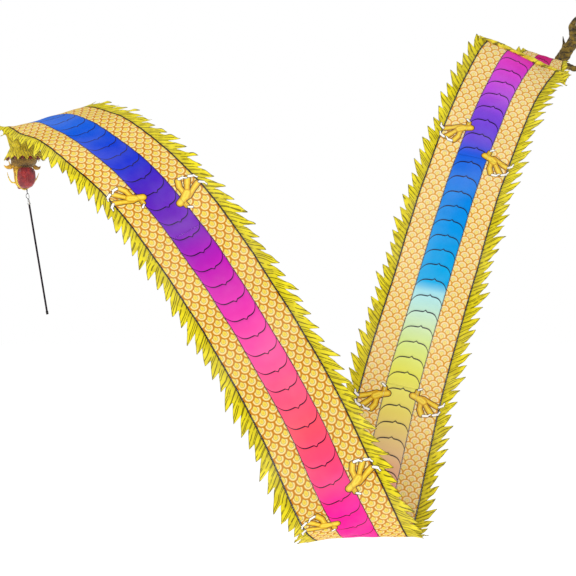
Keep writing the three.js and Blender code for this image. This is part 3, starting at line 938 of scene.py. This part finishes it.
def plump(piece):
    """Settles the panels between the seams as cloth under the stuffing's pressure."""
    cloth = piece.modifiers.new("stuffing", "CLOTH")
    settings = cloth.settings
    settings.quality = 6
    settings.mass = 0.15
    settings.tension_stiffness = 12
    settings.compression_stiffness = 12
    settings.shear_stiffness = 6
    settings.bending_stiffness = 0.3
    settings.vertex_group_mass = "seams"
    settings.use_pressure = True
    settings.uniform_pressure_force = 4
    settings.effector_weights.gravity = 0
    cloth.point_cache.frame_start = 1
    cloth.point_cache.frame_end = SETTLE_FRAMES
    for number in range(1, SETTLE_FRAMES + 1):
        bpy.context.scene.frame_set(number)
    settled = piece.evaluated_get(bpy.context.evaluated_depsgraph_get()).data
    ends = [vertex.co.copy() for vertex in settled.vertices]
    piece.modifiers.remove(cloth)
    bpy.context.scene.frame_set(1)
    for vertex, end in zip(piece.data.vertices, ends):
        move = end - vertex.co
        if move.length > PUFF_LIMIT:
            move *= PUFF_LIMIT / move.length
        vertex.co += move
    piece.data.update()


def build_head_body():
    quarter = math.pi / 2
    cover = stuffed("head_cover_cloth", COVER, [GOLD], (quarter, -quarter, 0.35, math.pi - 0.35))
    on_head(cover, "gold_cloth", "head_cover", "head_foam", levels=1)
    jaw = stuffed("lower_jaw_cloth", JAW, [JAW_RED], (-quarter, 0.0, math.pi), 0.0018)
    on_head(jaw, "red_satin", "lower_jaw", levels=1)


LIP_LINE = [
    (-0.044, -0.001, -0.112), (-0.048, -0.001, -0.150), (-0.045, -0.001, -0.186),
    (-0.030, 0.000, -0.209), (0, 0.001, -0.2245), (0.030, 0.000, -0.209),
    (0.045, -0.001, -0.186), (0.048, -0.001, -0.150), (0.044, -0.001, -0.112),
]
# Rows of the chin band: height, and how far it stands off the head.
BAND_ROWS = [
    (-0.045, 0.0006), (-0.048, 0.0066), (-0.060, 0.0074), (-0.076, 0.0074), (-0.090, 0.0066),
    (-0.094, 0.0006),
]
BAND_COLUMNS = 60
NOSE_LINE = [
    (-0.022, 0.036, -0.205), (-0.010, 0.047, -0.210), (0, 0.043, -0.211),
    (0.010, 0.047, -0.210), (0.022, 0.036, -0.205),
]


def build_muzzle():
    def twist(share, angle):
        return 1 + 0.06 * math.sin(angle + share * 260)
    lip_radii = [0.0046, 0.0052, 0.0046, 0.0052, 0.0046]
    lip = bar("lip_piping_cloth", LIP_LINE, lip_radii, [PIPING], 220, 14, twist)
    on_head(lip, "fin_cloth", "lip_piping")

    vertices = []
    for height, proud in BAND_ROWS:
        width, depth, middle = section_at(COVER, height)
        for column in range(BAND_COLUMNS):
            angle = math.pi + math.pi * column / (BAND_COLUMNS - 1)
            reach = proud + 0.0006 * math.sin(angle * 46)
            vertices.append(oval(angle, width + reach, depth + reach, height, middle))
    band = make_object("chin_band_cloth", vertices, grid_faces(len(BAND_ROWS), BAND_COLUMNS), [CHIN])
    solid = band.modifiers.new("thickness", "SOLIDIFY")
    solid.thickness = 0.002
    solid.offset = 0
    on_head(band, "brown_cloth", "chin_band", levels=1)

    nose = bar("nose_pad_cloth", NOSE_LINE, [0.006, 0.0125, 0.009, 0.0125, 0.006], [MAROON], 28, 20)
    on_head(nose, "maroon_cloth", "nose_pad", levels=1)


def dome(name, centre, outward, radius, depth, materials, columns=36, rings=12):
    """A rounded button whose rim lies on a plane facing outward."""
    outward = Vector(outward).normalized()
    side = outward.orthogonal().normalized()
    up = outward.cross(side)
    loops = []
    for ring in range(rings + 1):
        angle = (math.pi / 2) * ring / rings
        lift = depth * math.sin(angle)
        reach = radius * max(math.cos(angle), 0.02)
        loops.append([
            Vector(centre) + outward * lift + side * reach * math.cos(a) + up * reach * math.sin(a)
            for a in turns(columns)
        ])
    piece = ring_tube(name, loops, materials)
    close_box(piece)
    return piece


def ruffle(share, angle):
    return 1 + 0.18 * math.sin(share * 40 + 2 * angle)


def leaf(share, angle):
    return 0.45 + 0.55 * abs(math.cos(angle)) ** 0.8


def ringed(share, angle):
    return 1 + 0.07 * math.sin(share * 62)


def twined(share, angle):
    return 1 + 0.16 * math.sin(2 * angle + share * 34)


# Sewn bars on the right side of the head: node, last word of the name, line, radii, material,
# rings, columns, shape, slot and rounding levels.
SIDE_BARS = [
    ("brow", "cloth",
     [(0.072, 0.020, -0.040), (0.064, 0.040, -0.036), (0.048, 0.054, -0.039), (0.030, 0.062, -0.049)],
     [0.002, 0.007, 0.007, 0.002], BROW, 60, 18, ruffle, "brown_cloth", 0),
    ("ear", "cloth",
     [(0.058, 0.016, -0.088), (0.080, 0.022, -0.098), (0.100, 0.028, -0.099), (0.114, 0.032, -0.088)],
     [0.010, 0.016, 0.010, 0.0012], GOLD, 26, 24, leaf, "gold_cloth", 1),
    ("horn", "cloth",
     [(0.022, 0.060, -0.084), (0.027, 0.096, -0.088), (0.034, 0.128, -0.078), (0.036, 0.146, -0.052)],
     [0.011, 0.009, 0.006, 0.0015], HORN, 80, 22, ringed, "gold_cloth", 0),
    ("whisker", "cord",
     [(0.040, 0.026, -0.186), (0.066, 0.030, -0.184), (0.086, 0.026, -0.160), (0.098, 0.020, -0.128)],
     [0.005, 0.004, 0.003, 0.0012], PIPING, 70, 14, twined, "fin_cloth", 0),
]


def build_face_side(side, sign):
    outward = (sign * 0.80, 0.60, 0.0)
    eye = dome(f"eye_{side}_button", (sign * 0.052, 0.036, -0.052), outward, 0.0165, 0.0125, [EYE])
    on_head(eye, "eye_plastic", f"eye_{side}", bevel=0.0006)
    iris = (sign * 0.0605, 0.0425, -0.053)
    pupil = dome(f"pupil_{side}_button", iris, outward, 0.0075, 0.0040, [PUPIL])
    on_head(pupil, "pupil_plastic", f"pupil_{side}")
    for node, word, line, radii, material, rings, columns, shape, slot, levels in SIDE_BARS:
        points = [(sign * x, y, z) for x, y, z in line]
        piece = bar(f"{node}_{side}_{word}", points, radii, [material], rings, columns, shape)
        on_head(piece, slot, f"{node}_{side}", levels=levels)


build_head_body()
build_muzzle()
build_face_side("left", -1)
build_face_side("right", 1)


# ---------- neck and mane
RUFF_FLAMES = 14
FLAME_RUN = 1.4


def skirt(name, top, bottom, wall, phase, material, lift):
    """Pleated collar flaring down, cut into leaning flames along its lower edge."""
    def spot(turn, share, thickness):
        flame = (turn * RUFF_FLAMES + phase / 2) % 1
        ridge = 1 - abs(flame - 0.5) * 2
        run = share * (1 + (FLAME_RUN - 1) * (ridge ** 1.5) * share)
        height, width, depth = (a + (b - a) * run for a, b in zip(top, bottom))
        pleat = 0.0022 * math.sin(turn * RUFF_FLAMES * 2 * math.pi * 2) * (0.3 + share)
        reach = thickness + pleat + lift * share ** 3 * ridge
        return oval(2 * math.pi * turn + 0.05 * share * share, width + reach, depth + reach, height)
    piece = double_wall(name, 16, RUFF_FLAMES * 18, wall, spot, material)
    return placed(piece, NECK_DROP, HEM_YAW)


# Rows of the neck sleeve from its top down: height, half width, half depth.
SLEEVE_ROWS = [
    (0.026, 0.066, 0.007), (0.022, 0.062, 0.012), (0.017, 0.058, 0.020), (0.013, 0.052, 0.027),
    (0.009, 0.046, 0.034),
]


def build_neck():
    loops = []
    for height, width, depth in SLEEVE_ROWS:
        loop = []
        for angle in turns(96):
            gather = 0.0012 * math.sin(angle * 24)
            loop.append(oval(angle, width + gather, depth + gather, height))
        loops.append(loop)
    sleeve = ring_tube("neck_sleeve_cloth", loops, [GOLD])
    close_box(sleeve)
    finish_piece(placed(sleeve, NECK_DROP, HEM_YAW), "ribbon", "gold_cloth", "neck_sleeve")
    ruff = skirt("mane_ruff_cloth", (0.027, 0.076, 0.052), (-0.036, 0.100, 0.096),
                 0.003, 0, MANE, 0.004)
    finish_piece(ruff, "ribbon", "gold_cloth", "mane_ruff")
    lining = skirt("mane_lining_cloth", (0.027, 0.069, 0.045), (-0.036, 0.093, 0.089),
                   0.0025, 1, MAROON, 0.0)
    finish_piece(lining, "ribbon", "maroon_cloth", "mane_lining")


GATHER_POINTS = 10


def build_gather():
    """Cloth gathered from the ribbon's leading end into the neck, with points standing up round it."""
    def spot(turn, share, thickness):
        ridge = 1 - abs((turn * GATHER_POINTS) % 1 - 0.5) * 2
        rise = 1 - share
        height = -0.046 + 0.100 * rise + 0.036 * ridge ** 1.4 * rise * rise
        width = 0.074 + 0.040 * rise ** 0.8
        depth = 0.058 + 0.006 * rise
        fold = 0.0045 * math.sin(turn * 2 * math.pi * GATHER_POINTS * 3) * (0.25 + 0.75 * rise)
        reach = thickness + fold
        return oval(2 * math.pi * turn, width + reach, depth + reach, height)
    gather = double_wall("neck_gather_cloth", 18, GATHER_POINTS * 16, 0.0016, spot, MANE)
    finish_piece(placed(gather, 0, HEM_YAW), "ribbon", "fin_cloth")


CREST_ROLL = [0.002, 0.012, 0.015, 0.013, 0.016, 0.012, 0.002]


def build_crest_roll():
    """The fin cloth rolls over itself across the crest near the tail."""
    across = np.linspace(-0.30, 0.30, 9)
    along = 7.50 + 0.10 * np.linspace(0, 1, 9)
    line = on_ribbon(along, across, np.full(9, -0.012))

    def rolled(share, angle):
        fold = 0.70 + 0.30 * abs(math.cos(angle + share * 9))
        return fold * (1 + 0.06 * math.sin(share * 90 + angle))
    roll = bar("crest_roll_cloth", line, CREST_ROLL, [MANE], 110, 24, rolled)
    close_box(roll)
    finish_piece(roll, "ribbon", "fin_cloth")


build_neck()
build_gather()
build_crest_roll()


# ---------- tow hardware and rod
def hang(piece, body, slot, *replaced, bevel=None):
    """Finishes a piece built straight down from the tow point, leaning it as the rod hangs."""
    close_box(piece)
    piece.data.transform(Matrix.Translation(TOW_POINT) @ Matrix.Rotation(-ROD_LEAN, 4, "Y"))
    piece.data.update()
    finish_piece(piece, body, slot, *replaced, bevel=bevel)


# Turned profiles: radius, then height below the tow point.
AXIS = 0.0001
STEM = [
    (AXIS, -0.059), (0.0034, -0.059), (0.0034, -0.056), (0.0020, -0.056), (0.0020, -0.0495),
    (0.0037, -0.0495), (0.0040, -0.0480), (0.0037, -0.0450), (0.0022, -0.0432), (AXIS, -0.0428),
]
SWIVEL = [
    (AXIS, -0.066), (0.0058, -0.066), (0.0058, -0.078), (0.0093, -0.078), (0.0095, -0.0774),
    (0.0095, -0.0746), (0.0090, -0.0742), (0.0090, -0.0736), (0.0095, -0.0732), (0.0095, -0.0712),
    (0.0082, -0.0695), (0.0066, -0.067), (0.0061, -0.062), (0.0062, -0.0612), (0.0056, -0.0565),
    (0.0048, -0.0502), (0.0023, -0.050), (0.0023, -0.055), (0.0039, -0.055), (0.0039, -0.060),
    (AXIS, -0.060),
]
ROD = [
    (AXIS, ROD_END + 0.006), (0.0053, ROD_END + 0.006), (0.0055, ROD_END + 0.0065),
    (0.0055, -0.0668), (0.0053, -0.0664), (AXIS, -0.0664),
]
# The cap's heights are above the rod's far end.
CAP = [
    (AXIS, 0.0), (0.0048, 0.0), (0.0066, 0.0012), (0.0072, 0.0034), (0.0072, 0.0090),
    (0.0068, 0.0096), (0.0068, 0.0104), (0.0072, 0.0110), (0.0072, 0.0180), (0.0062, 0.0208),
    (0.0058, 0.0210), (0.0058, 0.0056), (AXIS, 0.0056),
]
HOOK_LINE = [
    (0, 0, -0.046), (-0.004, 0, -0.0415), (-0.0095, 0, -0.034), (-0.0095, 0, -0.024),
    (-0.005, 0, -0.016), (0, 0, -0.0144), (0.005, 0, -0.0165), (0.007, 0, -0.021),
]
LUG_LINE = [(0.001, 0, -0.0455), (0.0035, 0, -0.0444), (0.0052, 0, -0.0436)]
GATE_LINE = [(0.0054, 0, -0.0415), (0.0064, 0, -0.032), (0.007, 0, -0.0232)]


def build_hardware():
    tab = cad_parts["nose_tab"]
    tab.data.materials.clear()
    tab.data.materials.append(WEBBING)
    hang(torus("tow_ring_wire", 0.0088, 0.0012, [STEEL]), "ring", "steel", "tow_ring")
    wire = bar("snap_hook_wire", HOOK_LINE, [0.0018, 0.0016, 0.0016, 0.0015], [STEEL], 80, 18)
    hang(wire, "hook", "steel", "snap_hook", bevel=0.0003)
    hang(lathe("snap_hook_stem", STEM, [STEEL]), "hook", "steel", bevel=0.0002)
    lug = bar("snap_hook_lug", LUG_LINE, [0.0016, 0.0014], [STEEL], 12, 16)
    hang(lug, "hook", "steel", bevel=0.0002)
    gate = bar("hook_gate_bar", GATE_LINE, [0.0015, 0.0013], [STEEL], 20, 16)
    hang(gate, "gate", "steel", "hook_gate", bevel=0.0003)
    barrel = lathe("swivel_barrel_turned", SWIVEL, [BARREL], 56)
    hang(barrel, "rod", "barrel_metal", "swivel_barrel", bevel=0.0002)
    tube = lathe("rod_tube_lacquered", ROD, [ROD_BLACK], 40)
    hang(tube, "rod", "rod_black", "rod_tube", bevel=0.0002)
    cap_profile = [(radius, ROD_END + height) for radius, height in CAP]
    hang(lathe("end_cap_rubber", cap_profile, [RUBBER]), "rod", "cap_rubber", "end_cap")


build_hardware()


# ---------- tail
KNOT_CENTRE = Vector((3.268, 1.993, 0.606))
KNOT_RADIUS = 0.027


# Padded flames of the tail tuft: line and radii.
TAIL_FLAMES = {
    "tail_flame_tall": (
        [(3.274, 1.988, 0.625), (3.318, 2.000, 0.715), (3.372, 2.005, 0.800), (3.372, 2.010, 0.905),
         (3.410, 2.015, 0.980)], [0.013, 0.044, 0.041, 0.029, 0.002]),
    "tail_flame_low": (
        [(3.285, 2.000, 0.612), (3.345, 2.040, 0.640), (3.400, 2.050, 0.625), (3.450, 2.050, 0.690)],
        [0.010, 0.024, 0.018, 0.002]),
    "tail_flame_back": (
        [(3.255, 2.004, 0.624), (3.280, 2.074, 0.690), (3.322, 2.096, 0.770), (3.318, 2.105, 0.845)],
        [0.008, 0.022, 0.017, 0.002]),
}


def build_tail():
    rings = 32
    loops = []
    for polar in (math.pi * ring / rings for ring in range(rings + 1)):
        loop = []
        for angle in turns(64):
            wraps = 1 + 0.07 * math.sin(5 * polar + 2 * angle) + 0.03 * math.sin(11 * angle)
            reach = max(KNOT_RADIUS * math.sin(polar) * wraps, 0.0004)
            loop.append(KNOT_CENTRE + oval(angle, reach, reach, 0.85 * KNOT_RADIUS * math.cos(polar)))
        loops.append(loop)
    knot = ring_tube("tail_knot_cloth", loops, [KNOT])
    close_box(knot)
    finish_piece(knot, "ribbon", "brown_cloth", "tail_knot")

    def folded(share, angle):
        fold = 0.62 + 0.38 * abs(math.cos(1.5 * angle + share * 7))
        return fold * (1 + 0.05 * math.sin(share * 50 + angle * 3))
    for name, (line, radii) in TAIL_FLAMES.items():
        flame = bar(f"{name}_cloth", line, radii, [TAIL], 90, 48, folded)
        close_box(flame)
        finish_piece(flame, "ribbon", "brown_cloth", name)


build_tail()


# ---------- room and light
FLOOR_DROP = 0.45        # below the lowest fold
FLOOR_SPAN = 60
WHITE = (1, 1, 1, 1)
# Area lamps: name, offset from the object's middle, size and power.
LAMPS = [("key", (-4.0, -6.0, 5.0), 4.0, 330), ("fill", (5.0, -6.0, 1.0), 5.0, 60)]


def build_room():
    low = CAD_BOX[0][2] - FLOOR_DROP
    corners = [(-1, -1), (1, -1), (1, 1), (-1, 1)]
    floor_mesh = bpy.data.meshes.new("floor")
    floor_mesh.from_pydata(
        [(x * FLOOR_SPAN, y * FLOOR_SPAN, low) for x, y in corners], [], [(0, 1, 2, 3)],
    )
    floor = bpy.data.objects.new("floor", floor_mesh)
    bpy.context.scene.collection.objects.link(floor)
    material, tree, shader = new_material("floor_paper")
    paper = noise_field(tree, place_on(tree), 40.0, 4.0)
    set_inputs(tree, shader, {
        "Base Color": mix(tree, paper * 0.03, srgb(252, 252, 252), srgb(238, 238, 238)),
        "Roughness": 0.9, "Emission Color": WHITE, "Emission Strength": 0.45,
    })
    floor_mesh.materials.append(material)

    world = bpy.data.worlds.new("studio")
    world.use_nodes = True
    tree = world.node_tree
    soft_light = tree.nodes["Background"]
    set_inputs(tree, soft_light, {"Color": WHITE, "Strength": 0.58})
    backdrop = tree.nodes.new("ShaderNodeBackground")
    set_inputs(tree, backdrop, {"Color": WHITE})
    rays = tree.nodes.new("ShaderNodeLightPath")
    choice = tree.nodes.new("ShaderNodeMixShader")
    sources = (rays.outputs["Is Camera Ray"], soft_light.outputs[0], backdrop.outputs[0])
    for slot, output in enumerate(sources):
        tree.links.new(output, choice.inputs[slot])
    tree.links.new(choice.outputs[0], tree.nodes["World Output"].inputs["Surface"])
    bpy.context.scene.world = world

    middle = (Vector(CAD_BOX[0]) + Vector(CAD_BOX[1])) / 2
    for name, offset, size, power in LAMPS:
        light_data = bpy.data.lights.new(name, "AREA")
        light_data.size = size
        light_data.energy = power
        light = bpy.data.objects.new(name, light_data)
        light.location = middle + Vector(offset)
        light.rotation_euler = (middle - light.location).to_track_quat("-Z", "Y").to_euler()
        bpy.context.scene.collection.objects.link(light)


build_room()
